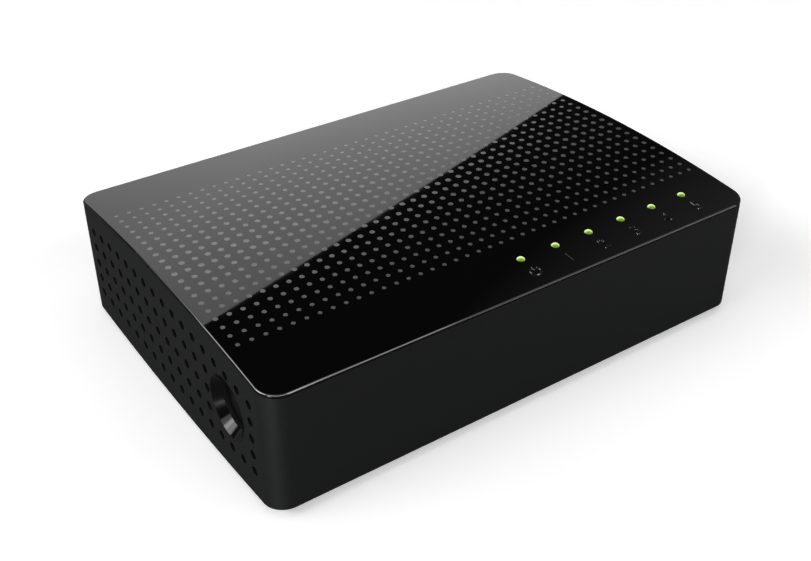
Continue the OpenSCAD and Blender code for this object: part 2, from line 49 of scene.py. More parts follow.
# Camera
# A 50 mm lens 18 cm from the switch, above its front left corner.
# Its place and turn come from the straight edges of the case in the photo.
camera_azimuth = math.radians(-34.823)
camera_elevation = math.radians(33.951)
camera_place = Vector((-84.875, -120.174, 104.223)) * MM
camera_right = Vector((math.cos(camera_azimuth), math.sin(camera_azimuth), 0))
camera_back = Vector((
    math.sin(camera_azimuth) * math.cos(camera_elevation),
    -math.cos(camera_azimuth) * math.cos(camera_elevation),
    math.sin(camera_elevation)))
camera_turn = Matrix((camera_right, camera_back.cross(camera_right), camera_back)).transposed()

camera_data = bpy.data.cameras.new("camera")
camera_data.sensor_width = 36
camera_data.lens = 50.25
camera_data.clip_start = 10 * MM
camera = bpy.data.objects.new("camera", camera_data)
camera.matrix_world = Matrix.Translation(camera_place) @ camera_turn.to_4x4()
scene.collection.objects.link(camera)
scene.camera = camera


# Table and studio
# A white table top in a dark room, lit by softboxes on all sides.
# The gloss cover mirrors the rear softbox, whose straight edge crosses it.
def linear(colour):
    """The linear values of an sRGB hex colour such as #808080."""
    channels = [int(colour[i:i + 2], 16) / 255 for i in (1, 3, 5)]
    return [c / 12.92 if c <= 0.04045 else ((c + 0.055) / 1.055) ** 2.4 for c in channels] + [1]


def add_node(tree, kind, inputs=(), **settings):
    """Adds a node. Each entry of inputs sets a socket, or links it to another node's output."""
    node = tree.nodes.new("ShaderNode" + kind)
    for name, value in settings.items():
        setattr(node, name, value)
    for name, value in dict(inputs).items():
        if isinstance(value, bpy.types.NodeSocket):
            tree.links.new(value, node.inputs[name])
        else:
            node.inputs[name].default_value = value
    return node


def start_material(name):
    """A new material with an empty tree, and that tree."""
    material = bpy.data.materials.new(name)
    material.use_nodes = True
    material.node_tree.nodes.clear()
    return material, material.node_tree


# The table is white to the camera and shows the shadow, and greyer to what stands on it.
# Away from the switch it fades to plain white.
table_white, table_shade, table_lift = "#f6f6f6", "#727272", 0.31
table_size, fade_near, fade_far = 6.0, 0.25, 0.9
table_paper, tree = start_material("white_table_paper")
seen = add_node(tree, "LightPath").outputs["Is Camera Ray"]
colour = add_node(tree, "Mix", {0: seen, 6: linear(table_shade), 7: linear(table_white)}, data_type="RGBA")
shader = add_node(tree, "BsdfDiffuse", {"Color": colour.outputs[2], "Roughness": 1.0})
place = add_node(tree, "TexCoord").outputs["Object"]
away = add_node(tree, "VectorMath", {0: place}, operation="LENGTH").outputs["Value"]
whiter = add_node(tree, "MapRange", {
    "Value": away, "From Min": fade_near, "From Max": fade_far, "To Min": table_lift, "To Max": 1.0})
lift = add_node(tree, "Math", {0: seen, 1: whiter.outputs["Result"]}, operation="MULTIPLY")
white = add_node(tree, "Emission", {"Color": (1, 1, 1, 1), "Strength": lift.outputs[0]})
both = add_node(tree, "AddShader", {0: shader.outputs["BSDF"], 1: white.outputs["Emission"]})
add_node(tree, "OutputMaterial", {"Surface": both.outputs["Shader"]})
bm = bmesh.new()
bmesh.ops.create_grid(bm, x_segments=1, y_segments=1, size=table_size / 2)
mesh = bpy.data.meshes.new("table")
bm.to_mesh(mesh)
bm.free()
mesh.materials.append(table_paper)
table = bpy.data.objects.new("table", mesh)
scene.collection.objects.link(table)

# The room is dark above a pale horizon, and lighter at the upper right.
horizon_low, horizon_high, horizon_light = 0.10, 0.18, 0.3
bright_side = Vector((0.75, 0.0, 0.66)).normalized()
bright_from, bright_to, bright_light, room_light = 0.845, 1.0, 0.3, 0.02
room = bpy.data.worlds.new("dark_room")
scene.world = room
room.use_nodes = True
tree = room.node_tree
tree.nodes.clear()
direction = add_node(tree, "TexCoord").outputs["Generated"]
height = add_node(tree, "SeparateXYZ", {0: direction}).outputs["Z"]
horizon = add_node(tree, "MapRange", {
    "Value": height, "From Min": horizon_low, "From Max": horizon_high,
    "To Min": horizon_light, "To Max": 0.0}, interpolation_type="SMOOTHSTEP")
sideways = add_node(tree, "VectorMath", {0: direction, 1: bright_side}, operation="DOT_PRODUCT")
side = add_node(tree, "MapRange", {
    "Value": sideways.outputs["Value"], "From Min": bright_from, "From Max": bright_to,
    "To Min": room_light, "To Max": bright_light})
glow = add_node(tree, "Math", {0: horizon.outputs["Result"], 1: side.outputs["Result"]}, operation="MAXIMUM")
seen = add_node(tree, "LightPath").outputs["Is Camera Ray"]
strength = add_node(tree, "Math", {0: glow.outputs[0], 1: seen}, operation="MAXIMUM")
light = add_node(tree, "Background", {"Color": (1, 1, 1, 1), "Strength": strength.outputs[0]})
add_node(tree, "OutputWorld", {"Surface": light.outputs["Background"]})


def softbox(name, centre, along, faces, width, height, radiance):
    """An even rectangular lamp with its width along one direction, turned about it to face a point."""
    x = Vector(along).normalized()
    z = Vector(centre) - Vector(faces)
    z = (z - x * z.dot(x)).normalized()
    lamp = bpy.data.lights.new(name, "AREA")
    lamp.shape = "RECTANGLE"
    lamp.size, lamp.size_y = width, height
    lamp.energy = radiance * math.pi * width * height
    box = bpy.data.objects.new(name, lamp)
    box.matrix_world = Matrix.Translation(centre) @ Matrix((x, z.cross(x), z)).transposed().to_4x4()
    box.visible_camera = False
    scene.collection.objects.link(box)
    return lamp


middle = (0, 0, 0.01)
softbox("overhead_softbox", (0, 0, 0.95), (1, 0, 0), middle, 0.8, 0.8, 0.95)
softbox("left_softbox", (-0.63, 0.364, 0.529), (0.5, 0.866, 0), middle, 0.98, 0.38, 1.75)
softbox("corner_softbox", (-0.62, -0.42, 0.05), (0.56, -0.83, 0), middle, 0.12, 0.1, 95.0)
softbox("front_softbox", (0.45, -0.5, 0.13), (0.74, 0.67, 0), middle, 0.3, 0.22, 3.0)
# Strip lamps that the chamfer round the cover mirrors as a thin line, from its left side to its front.
edge_lamp_away = 0.95
for name, towards, along, length, width, radiance in (
        ("left_edge_lamp", (-0.705, 0.565, 0.42), (-0.17, -0.30, 0.15), 0.28, 0.12, 3.4),
        ("corner_edge_lamp", (-0.80, 0.09, 0.59), (0.09, -0.74, 0.21), 0.72, 0.14, 6.6),
        ("front_corner_lamp", (-0.50, -0.50, 0.70), (0.38, -0.35, 0.02), 0.50, 0.12, 4.6),
        ("front_left_lamp", (0.03, -0.735, 0.675), (0.64, -0.06, -0.09), 0.63, 0.12, 4.2),
        ("front_edge_lamp", (0.405, -0.695, 0.595), (0.107, 0.04, -0.03), 0.13, 0.10, 2.4),
        ("right_edge_lamp", (0.61, -0.60, 0.52), (0.215, 0.122, -0.105), 0.34, 0.12, 0.66)):
    softbox(name, Vector(towards) * edge_lamp_away, along, middle, length, width, radiance)

# The upper edge of the rear softbox, and how its light falls off towards its lower side.
edge_near = Vector((228.7, 222.7, 124.3)) * MM
edge_far = Vector((176.5, 468.0, 481.2)) * MM
rear_length, rear_height = 0.64, 0.28
rear_light, fade_until, fade_to = 1.25, 0.5, 0.65
edge_run = (edge_far - edge_near).normalized()
edge_middle = (edge_near + edge_far) / 2
rear_away = (edge_middle - edge_run * edge_middle.dot(edge_run)).normalized()
rear_middle = edge_middle + edge_run.cross(rear_away) * rear_height / 2
lamp = softbox("rear_softbox", rear_middle, edge_run, rear_middle - rear_away,
               rear_length, rear_height, rear_light)
lamp.use_nodes = True
tree = lamp.node_tree
place = add_node(tree, "NewGeometry").outputs["Parametric"]
up = add_node(tree, "SeparateXYZ", {0: place}).outputs["Y"]
fade = add_node(tree, "MapRange", {
    "Value": up, "From Min": 0.0, "From Max": fade_until, "To Min": fade_to, "To Max": 1.0})
tree.links.new(fade.outputs["Result"], tree.nodes["Emission"].inputs["Strength"])


# Case
# Injection-moulded black ABS tub with a spark-eroded matte texture, crowned underneath,
# with vent holes in both side walls, the inlet in the left one and the port window at the rear.
half_w, half_d = 41 * MM, 29 * MM
corner_r = 3 * MM
edge_low_z, edge_high_z = 1.7 * MM, 20.0 * MM
top_crown, bottom_crown = 1.7 * MM, 1.1 * MM
wall_t, floor_t = 1.8 * MM, 1.6 * MM
rim_h, seam_gap, case_edge = 0.35 * MM, 0.1 * MM, 0.08 * MM
crown_cuts, corner_cuts = 48, 14
crease = math.radians(35)
# How far a cutter reaches past what it cuts.
beyond = 1 * MM


def crown_z(y):
    """Height of the crowned top over the table."""
    r = (half_d ** 2 + top_crown ** 2) / (2 * top_crown)
    return edge_high_z + top_crown - r + math.sqrt(r * r - y * y)


def belly_z(y):
    """Height of the crowned underside over the table."""
    r = (half_d ** 2 + bottom_crown ** 2) / (2 * bottom_crown)
    return edge_low_z - bottom_crown + r - math.sqrt(r * r - y * y)


def crowned_slab(inset, low, high):
    """A block with the plan of the case, drawn in by inset, between the heights low(y) and high(y)."""
    bm = bmesh.new()
    size = Vector((2 * (half_w - inset), 2 * (half_d - inset), half_d))
    bmesh.ops.create_cube(bm, size=1, matrix=Matrix.Diagonal(size).to_4x4())
    upright = [e for e in bm.edges if (e.verts[0].co - e.verts[1].co).xy.length < size.x / 100]
    bmesh.ops.bevel(bm, geom=upright, offset=corner_r - inset, segments=corner_cuts, profile=0.5,
                    affect="EDGES", material=-1)
    for k in range(1, crown_cuts):
        y = (k / crown_cuts - 0.5) * size.y
        bmesh.ops.bisect_plane(bm, geom=bm.verts[:] + bm.edges[:] + bm.faces[:],
                               plane_co=(0, y, 0), plane_no=(0, 1, 0))
    for v in bm.verts:
        v.co.z = high(v.co.y) if v.co.z > 0 else low(v.co.y)
    return bm


def add_rod(bm, axis, centre, radius, length, far_radius=None, segments=32):
    """Adds a closed rod along X, Y or Z, or a cone where its far end has another radius."""
    turn = Vector((0, 0, 1)).rotation_difference(Vector(axis)).to_matrix().to_4x4()
    bmesh.ops.create_cone(
        bm, cap_ends=True, segments=segments, radius1=radius,
        radius2=radius if far_radius is None else far_radius, depth=length,
        matrix=Matrix.Translation(centre) @ turn)


def add_block(bm, low, high):
    """Adds a box between two corners, and returns its vertices."""
    low, high = Vector(low), Vector(high)
    return bmesh.ops.create_cube(bm, size=1, matrix=Matrix.Translation((low + high) / 2)
                                 @ Matrix.Diagonal(high - low).to_4x4())["verts"]


def shade(mesh):
    """Shades a mesh smooth, apart from its creases."""
    mesh.shade_smooth()
    mesh.set_sharp_from_angle(angle=crease)


def add_piece(bm, name, material, replaced=(), body="switch"):
    """Turns a finished bmesh into a piece of the switch that rides on one of its bodies."""
    mesh = bpy.data.meshes.new(name)
    bm.to_mesh(mesh)
    bm.free()
    shade(mesh)
    mesh.materials.append(material)
    piece = bpy.data.objects.new(name, mesh)
    scene.collection.objects.link(piece)
    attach(piece, body)
    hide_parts(*replaced)
    return piece


def settle(piece):
    """Applies a piece's modifiers to its mesh."""
    shaped = bpy.data.meshes.new_from_object(piece.evaluated_get(bpy.context.evaluated_depsgraph_get()))
    piece.modifiers.clear()
    piece.data = shaped


def carve(piece, bm, operation="DIFFERENCE", material=None):
    """Cuts the shapes of a bmesh out of a piece, or joins them to it. Cut faces can take another material."""
    mesh = bpy.data.meshes.new("cutter")
    bm.to_mesh(mesh)
    bm.free()
    mesh.materials.append(material or piece.data.materials[0])
    cutter = bpy.data.objects.new("cutter", mesh)
    scene.collection.objects.link(cutter)
    modifier = piece.modifiers.new("carve", "BOOLEAN")
    modifier.object = cutter
    modifier.operation = operation
    modifier.solver = "EXACT"
    modifier.material_mode = "TRANSFER"
    settle(piece)
    bpy.data.objects.remove(cutter)


def ease_edges(piece, width, segments=2, finish=-1):
    """Rounds a piece's sharp edges and keeps its broad faces flat. The edges can take another finish."""
    modifier = piece.modifiers.new("eased_edges", "BEVEL")
    modifier.material = finish
    modifier.use_clamp_overlap = finish < 0
    modifier.width = width
    modifier.segments = segments
    modifier.limit_method = "ANGLE"
    modifier.angle_limit = crease
    settle(piece)
    shade(piece.data)
    piece.modifiers.new("flat_faces", "WEIGHTED_NORMAL").keep_sharp = True


def grained(name, dark, pale, grain, smooth, rough, bump=0.0, sockets=()):
    """A material whose colour and roughness wander between two values, with a grain of a real size."""
    # Nearly all of the noise lies between these two values.
    noise_low, noise_high = 0.3, 0.7
    material, tree = start_material(name)
    place = add_node(tree, "TexCoord").outputs["Object"]
    noise = add_node(tree, "TexNoise", {"Vector": place, "Scale": 1 / grain, "Detail": 4.0})
    spread = add_node(tree, "MapRange", {
        "Value": noise.outputs["Fac"], "From Min": noise_low, "From Max": noise_high})
    colour = add_node(tree, "Mix", {
        0: spread.outputs["Result"], 6: linear(dark), 7: linear(pale)}, data_type="RGBA")
    haze = add_node(tree, "MapRange", {"Value": spread.outputs["Result"], "To Min": smooth, "To Max": rough})
    relief = add_node(tree, "Bump", {
        "Height": noise.outputs["Fac"], "Strength": bump, "Distance": grain / 10})
    shader = add_node(tree, "BsdfPrincipled", {
        "Base Color": colour.outputs[2], "Roughness": haze.outputs["Result"],
        "Normal": relief.outputs["Normal"], **dict(sockets)})
    add_node(tree, "OutputMaterial", {"Surface": shader.outputs["BSDF"]})
    return material


# ABS: the eroded mould leaves a fine even grain that scatters the light.
# The grain is drawn at 0.25 mm, coarser than the real 0.05 mm, so that it shows.
matte_abs = grained("textured_black_abs", "#0d0f0e", "#131514", 0.25 * MM, 0.5, 0.55, bump=0.15,
                    sockets={"Specular IOR Level": 0.4})
# ABS inside the holes: painted shade, deep black because hardly any light comes back out of them.
shaded_bore_abs = grained("painted_shade_black_abs", "#020202", "#040404", 0.5 * MM, 0.6, 0.7,
                   sockets={"Specular IOR Level": 0.1})

case = add_piece(crowned_slab(0, belly_z, lambda y: crown_z(y) - rim_h - seam_gap), "case", matte_abs,
                 ["bottom_case"])
carve(case, crowned_slab(wall_t, lambda y: belly_z(y) + floor_t, lambda y: crown_z(y) + beyond))

# Bosses for the screws and stands for the board.
screw_places = [(sx * 36.4 * MM, y * MM) for sx in (-1, 1) for y in (-24.9, 8.5)]
stand_places = [(x * MM, y * MM) for x, y in
                ((-33.2, -5.8), (33.2, -5.8), (-6.1, -22.9), (-21, 19.5), (21, 19.5))]
boss_r, boss_top, stand_r, stand_top = 2.1 * MM, 7.0 * MM, 2.3 * MM, 4.6 * MM
posts = bmesh.new()
for places, r, top in ((screw_places, boss_r, boss_top), (stand_places, stand_r, stand_top)):
    for x, y in places:
        low = belly_z(y) + floor_t / 2
        add_rod(posts, (0, 0, 1), (x, y, (low + top) / 2), r, top - low, segments=40)
carve(case, posts, "UNION")

inlet_y, inlet_z = -17.8 * MM, 11.5 * MM
inlet_r, throat_r, cone_depth = 4.6 * MM, 3.55 * MM, 1.15 * MM
vent_r, vent_pitch_y, vent_pitch_z = 0.65 * MM, 3 * MM, 3.2 * MM
vent_cols, vent_rows, vent_squeeze = 17, 5, 0.52 * MM
vent_y, vent_z = -0.2 * MM, 11.05 * MM
holes = bmesh.new()
for side in (-1, 1):
    for i in range(vent_cols):
        share = 2 * i / (vent_cols - 1) - 1
        y = vent_y + share * (vent_cols - 1) / 2 * vent_pitch_y
        for k in range(vent_rows):
            z = vent_z + (k - (vent_rows - 1) / 2) * (vent_pitch_z - vent_squeeze * share ** 2)
            if side > 0 or math.hypot(y - inlet_y, z - inlet_z) > inlet_r + vent_r:
                add_rod(holes, (1, 0, 0), (side * half_w, y, z), vent_r, 2 * wall_t + beyond, segments=24)
# The cut walls of the vents take the painted shade of the holes.
carve(case, holes, material=shaded_bore_abs)

port_low, port_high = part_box("port_housing")
window_fit = 0.25 * MM
head_hole_r, head_sink = 2.1 * MM, 1.0 * MM
screw_hole_r = 1.25 * MM
recess_fit, recess_depth = 0.15 * MM, 1.6 * MM
feet = ("foot_front_left", "foot_front_right", "foot_rear_left", "foot_rear_right")
holes = bmesh.new()
add_rod(holes, (1, 0, 0), (-half_w, inlet_y, inlet_z), throat_r, 2 * (wall_t + beyond), segments=96)
add_block(holes, (port_low.x - window_fit, half_d - wall_t - beyond, port_low.z - window_fit),
          (port_high.x + window_fit, half_d + beyond, port_high.z + window_fit))
for x, y in screw_places:
    top = belly_z(y) + head_sink
    add_rod(holes, (0, 0, 1), (x, y, top / 2), head_hole_r, top, segments=48)
for foot in feet:
    low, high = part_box(foot)
    x, y = ((low + high) / 2).xy
    add_rod(holes, (0, 0, 1), (x, y, recess_depth / 2), (high.x - low.x) / 2 + recess_fit,
            recess_depth, segments=64)
carve(case, holes)
holes = bmesh.new()
for x, y in screw_places:
    add_rod(holes, (0, 0, 1), (x, y, boss_top / 2), screw_hole_r, 2 * boss_top, segments=32)
slope = (inlet_r - throat_r) / cone_depth
add_rod(holes, (1, 0, 0), (-half_w, inlet_y, inlet_z), inlet_r + slope * cone_depth, 2 * cone_depth,
        throat_r, segments=96)
carve(case, holes)
ease_edges(case, case_edge)


# Inlet cone
# The cone that leads the plug into the power inlet, moulded in one with the case
# and left smooth by a polished core pin.
# Polished ABS: black, with sharp reflections of the lamps round the cone.
polished_abs = grained("polished_black_abs", "#080808", "#0b0b0b", 3 * MM, 0.09, 0.13, sockets={"IOR": 1.4})


def add_cone(name, x, mouth_r, deep_r, depth, material):
    """Adds the thin lining of a conical mouth on the inlet's axis, which starts at x."""
    lining_t = 0.05 * MM
    profile = [(0, mouth_r), (depth, deep_r), (depth, deep_r - lining_t), (0, mouth_r - lining_t)]
    bm = bmesh.new()
    ring = [bm.verts.new((x + deep, inlet_y + r, inlet_z)) for deep, r in profile]
    loop = [bm.edges.new((ring[i], ring[(i + 1) % len(ring)])) for i in range(len(ring))]
    bmesh.ops.spin(bm, geom=ring + loop, cent=(0, inlet_y, inlet_z), axis=(1, 0, 0), angle=2 * math.pi,
                   steps=96, use_merge=True)
    bmesh.ops.recalc_face_normals(bm, faces=bm.faces[:])
    add_piece(bm, name, material)


add_cone("inlet_cone", -half_w, inlet_r, throat_r, cone_depth, polished_abs)


# Feet
# Four round rubber feet, die-cut from sheet with a softened edge and a shallow dish,
# each glued into its recess under the case.
# Rubber: matte, with a fine dusty grain.
rubber = grained("black_rubber", "#131313", "#1b1b1b", 0.2 * MM, 0.8, 0.9, bump=0.3)
foot_edge = 0.35 * MM
dish_rim, dish_depth = 1.2 * MM, 0.15 * MM
for foot in feet:
    low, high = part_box(foot)
    bm = bmesh.new()
    add_rod(bm, (0, 0, 1), (low + high) / 2, (high.x - low.x) / 2, high.z - low.z, segments=64)
    under = [f for f in bm.faces if f.normal.z < -0.9]
    bmesh.ops.bevel(bm, geom=under[0].edges[:], offset=foot_edge, segments=4, profile=0.5,
                    affect="EDGES", material=-1)
    under = [f for f in bm.faces if f.normal.z < -0.99]
    bmesh.ops.inset_region(bm, faces=under, thickness=dish_rim)
    bmesh.ops.inset_region(bm, faces=under, thickness=dish_depth)
    bmesh.ops.translate(bm, verts=under[0].verts[:], vec=(0, 0, dish_depth))
    add_piece(bm, foot.replace("foot", "rubber_foot"), rubber, [foot])


# Circuit board
# Glass-fibre laminate with copper tracks under green solder mask, notched round the screw posts.
# Three screws hold it on its stands.
def finish_nodes(material, *names):
    """Gives CAD nodes that stay as they are their finish."""
    for name in names:
        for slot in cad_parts[name].material_slots:
            slot.material = material


# Solder mask: a glossy green varnish, paler where copper tracks 0.4 mm wide lie under it.
track_pitch, track_t, patch_size = 0.8 * MM, 0.03 * MM, 6 * MM
# The period of a wave texture at a scale of 1.
wave_period = 0.314
mask_green, mask_copper = "#0d3a1c", "#1d6a35"
solder_mask, tree = start_material("green_solder_mask")
place = add_node(tree, "TexCoord").outputs["Object"]
tracks = add_node(tree, "TexWave", {"Vector": place, "Scale": wave_period / track_pitch, "Distortion": 0.0})
patches = add_node(tree, "TexNoise", {"Vector": place, "Scale": 1 / patch_size, "Detail": 1.0})
lines = add_node(tree, "Math", {0: tracks.outputs["Fac"], 1: 0.5}, operation="GREATER_THAN")
areas = add_node(tree, "Math", {0: patches.outputs["Fac"], 1: 0.5}, operation="GREATER_THAN")
copper = add_node(tree, "Math", {0: lines.outputs[0], 1: areas.outputs[0]}, operation="MULTIPLY")
colour = add_node(tree, "Mix", {
    0: copper.outputs[0], 6: linear(mask_green), 7: linear(mask_copper)}, data_type="RGBA")
relief = add_node(tree, "Bump", {"Height": copper.outputs[0], "Strength": 0.2, "Distance": track_t})
shader = add_node(tree, "BsdfPrincipled", {
    "Base Color": colour.outputs[2], "Roughness": 0.3, "Normal": relief.outputs["Normal"]})
add_node(tree, "OutputMaterial", {"Surface": shader.outputs["BSDF"]})
finish_nodes(solder_mask, "circuit_board")

# Zinc-plated steel: bluish grey metal, dulled by its passivation.
zinc_steel = grained("zinc_plated_steel", "#8f959b", "#aab0b5", 0.4 * MM, 0.28, 0.42,
                     sockets={"Metallic": 1.0})
finish_nodes(zinc_steel, "board_screws")


# Parts on the board
# Moulded chips, the finned heat sink on its thermal pad, line transformers, crystal, inductor,
# capacitors, resistors and lights, all soldered to the board.
# Moulded epoxy: near black, slightly rough from its filler.
epoxy = grained("moulded_epoxy", "#141415", "#1c1c1d", 0.15 * MM, 0.5, 0.65, bump=0.2)
finish_nodes(epoxy, "switch_chip", "setup_memory", "voltage_regulator", "input_diode",
             *[f"transformer_{i}" for i in range(1, 6)])
# Silicone pad: soft blue-grey, quite matte.
silicone = grained("filled_silicone", "#7f90a1", "#93a4b4", 0.5 * MM, 0.7, 0.85, bump=0.2)
finish_nodes(silicone, "thermal_pad")
# Anodised aluminium: pale satin metal.
aluminium = grained("anodised_aluminium", "#a4a9ae", "#b9bec2", 0.3 * MM, 0.35, 0.5,
                    sockets={"Metallic": 1.0})
finish_nodes(aluminium, "heat_sink", "electrolytic_capacitors")
# Tinned copper and drawn steel: bright, a little uneven.
tin = grained("tin_plate", "#b3b3b0", "#cfcfcb", 0.2 * MM, 0.2, 0.35, sockets={"Metallic": 1.0})
finish_nodes(tin, "transformer_leads", "crystal")
# Ferrite, fired ceramic and glazed film: small, hard and matte.
ferrite = grained("sintered_ferrite", "#37383a", "#46474a", 0.2 * MM, 0.5, 0.7, bump=0.3)
finish_nodes(ferrite, "power_inductor")
ceramic = grained("fired_ceramic", "#8f744c", "#a88a5f", 0.1 * MM, 0.35, 0.5)
finish_nodes(ceramic, "chip_capacitors")
glaze = grained("glazed_film", "#17181a", "#222326", 0.1 * MM, 0.3, 0.45)
finish_nodes(glaze, "chip_resistors")
# Clear resin over the green lights.
led_resin = grained("clear_led_resin", "#c9cf9a", "#dfe5b4", 0.3 * MM, 0.15, 0.25, sockets={
    "Emission Color": linear("#9fdc2c"), "Emission Strength": 1.0})
finish_nodes(led_resin, "indicator_leds")


# Port housing
# One nylon moulding with five plug sockets side by side, each with a flared mouth
# and a notch for the plug's latch, soldered to the rear edge of the board.
# Nylon: black, finely pitted, with a low sheen on its flats.
nylon = grained("moulded_black_nylon", "#1a1b1c", "#222425", 0.2 * MM, 0.42, 0.52, bump=0.12)
port_pitch, port_places = 14 * MM, range(-2, 3)
socket_w, socket_low, socket_high = 11.8 * MM, 8.2 * MM, 15.3 * MM
notch_w, notch_high, notch_len = 6.3 * MM, 17.2 * MM, 9 * MM
flare, flare_len, tail_len, socket_edge = 0.4 * MM, 0.5 * MM, 3.6 * MM, 0.1 * MM
mouth_y, back_y = port_high.y, port_low.y


def flared(bm, x, width, low, high):
    """Adds the widened mouth of a socket that is centred on x."""
    for v in add_block(bm, (x - width / 2, mouth_y - flare_len, low),
                       (x + width / 2, mouth_y + flare_len, high)):
        if v.co.y > mouth_y:
            v.co.x += math.copysign(2 * flare, v.co.x - x)
            v.co.z += math.copysign(2 * flare, v.co.z - (low + high) / 2)


bm = bmesh.new()
add_block(bm, port_low, port_high)
housing = add_piece(bm, "port_block", nylon, ["port_housing"])
sockets, notches, mouths, notch_mouths, tails = [bmesh.new() for k in range(5)]
for k in port_places:
    x = k * port_pitch
    add_block(sockets, (x - socket_w / 2, back_y - beyond, socket_low),
              (x + socket_w / 2, mouth_y + beyond, socket_high))
    add_block(notches, (x - notch_w / 2, mouth_y - notch_len, socket_high - beyond),
              (x + notch_w / 2, mouth_y + beyond, notch_high))
    add_block(tails, (x - socket_w / 2, back_y - beyond, port_low.z - beyond),
              (x + socket_w / 2, back_y + tail_len, socket_low + beyond))
    flared(mouths, x, socket_w, socket_low, socket_high)
    flared(notch_mouths, x, notch_w, socket_high - beyond, notch_high)
for shapes in (sockets, notches, mouths, notch_mouths, tails):
    carve(housing, shapes)
ease_edges(housing, socket_edge)


# Port carriers
# A small insert behind each socket that holds its eight wires down,
# with a comb whose teeth keep the free ends of the springs apart.
contact_pitch = 1.02 * MM
tooth_w, tooth_len, tooth_top, tooth_edge = 0.36 * MM, 3.2 * MM, 10.4 * MM, 0.06 * MM
for i in range(1, 6):
    low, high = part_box(f"port_carrier_{i}")
    x = (low.x + high.x) / 2
    bm = bmesh.new()
    add_block(bm, low, high)
    carrier = add_piece(bm, f"port_comb_{i}", nylon, [f"port_carrier_{i}"])
    teeth = bmesh.new()
    for k in range(-4, 5):
        add_block(teeth, (x + k * contact_pitch - tooth_w / 2, high.y - beyond, low.z),
                  (x + k * contact_pitch + tooth_w / 2, high.y + tooth_len, tooth_top))
    carve(carrier, teeth, "UNION")
    ease_edges(carrier, tooth_edge)


# Port contacts
# Eight gold-flashed spring wires in each socket. Each one is soldered to the board, runs along
# the socket floor, turns back at the mouth and rises as a spring that the plug presses down.
# Gold flash over nickel: warm bright metal, smooth with faint drawing marks.
def eased_copy(node, name, width, material, body="switch"):
    """A copy of a CAD node with rounded edges, which stands for it."""
    bm = bmesh.new()
    bm.from_mesh(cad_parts[node].data)
    bmesh.ops.remove_doubles(bm, verts=bm.verts[:], dist=0.001 * MM)
    bmesh.ops.dissolve_limit(bm, angle_limit=math.radians(1), verts=bm.verts[:], edges=bm.edges[:])
    piece = add_piece(bm, name, material, [node], body)
    ease_edges(piece, width)


gold = grained("gold_flash", "#d9a441", "#f0c264", 0.15 * MM, 0.16, 0.28, sockets={"Metallic": 1.0})
eased_copy("port_leads", "gilt_leads", 0.06 * MM, gold)
for i in range(1, 6):
    eased_copy(f"contact_springs_{i}", f"gilt_springs_{i}", 0.08 * MM, gold, f"contacts_{i}")


# Power jack
# Moulded body with a bevelled plug hole, a nickel-plated pin on its axis
# and a leaf that presses on the plug's sleeve from below.
# Polyamide: smooth black with a soft gloss.
jack_plastic = grained("smooth_black_polyamide", "#080808", "#0c0c0c", 0.6 * MM, 0.25, 0.35,
                       sockets={"Specular IOR Level": 0.25})
eased_copy("jack_body", "jack_block", 0.12 * MM, jack_plastic)
# The bevel of its mouth has the same painted shade as the other holes.
jack_face, plug_mouth_r, plug_hole_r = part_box("jack_body")[0].x, 2.63 * MM, 1.95 * MM
add_cone("jack_mouth", jack_face, plug_mouth_r, plug_hole_r, plug_mouth_r - plug_hole_r, shaded_bore_abs)
# Nickel plate: bright, slightly warm metal.
nickel = grained("nickel_plate", "#bdb9b0", "#d6d2c8", 0.3 * MM, 0.15, 0.26, sockets={"Metallic": 1.0})
eased_copy("jack_pin", "jack_centre_pin", 0.15 * MM, nickel)
eased_copy("jack_leaf_terminal", "jack_terminal", 0.06 * MM, nickel)
eased_copy("jack_leaf", "jack_spring_leaf", 0.06 * MM, nickel, "sleeve_leaf")


# Light pipe
# One clear acrylic moulding: a domed rod for each light on a common runner, pressed into the cover.
# The lights on the board glow up through it. The glow is painted darker at the front of each dome as painted
# shade, and pale at the back as a painted highlight.
light_places = [((1.9 + 6.18 * i) * MM, -22.9 * MM) for i in range(6)]
light_r, dome_h = 0.56 * MM, 0.3 * MM
dome_r = (light_r ** 2 + dome_h ** 2) / (2 * dome_h)
# The glow's colour follows which way the surface faces: painted shade on the front of each dome and a painted
# highlight on its back.
glow_base, shaded_glow_front, glow_middle, painted_highlight_rear = "#1c3004", "#4a7010", "#78ac18", "#e8ffac"
highlight_side, shade_from, shade_to, highlight_from, highlight_to = (0.6, 0.8, 0), -0.8, -0.45, -0.42, -0.15
glow_and_highlight_acrylic, tree = start_material("green_acrylic_glow_painted_highlight")
facing = add_node(tree, "TexCoord").outputs["Normal"]
lean = add_node(tree, "VectorMath", {0: facing, 1: highlight_side}, operation="DOT_PRODUCT").outputs["Value"]
front = add_node(tree, "MapRange", {"Value": lean, "From Min": shade_from, "From Max": shade_to})
rear = add_node(tree, "MapRange", {"Value": lean, "From Min": highlight_from, "From Max": highlight_to})
body = add_node(tree, "Mix", {
    0: front.outputs["Result"], 6: linear(shaded_glow_front), 7: linear(glow_middle)}, data_type="RGBA")
colour = add_node(tree, "Mix", {
    0: rear.outputs["Result"], 6: body.outputs[2], 7: linear(painted_highlight_rear)}, data_type="RGBA")
shader = add_node(tree, "BsdfPrincipled", {
    "Base Color": linear(glow_base), "Roughness": 0.12, "IOR": 1.49,
    "Emission Color": colour.outputs[2], "Emission Strength": 1.0})
add_node(tree, "OutputMaterial", {"Surface": shader.outputs["BSDF"]})

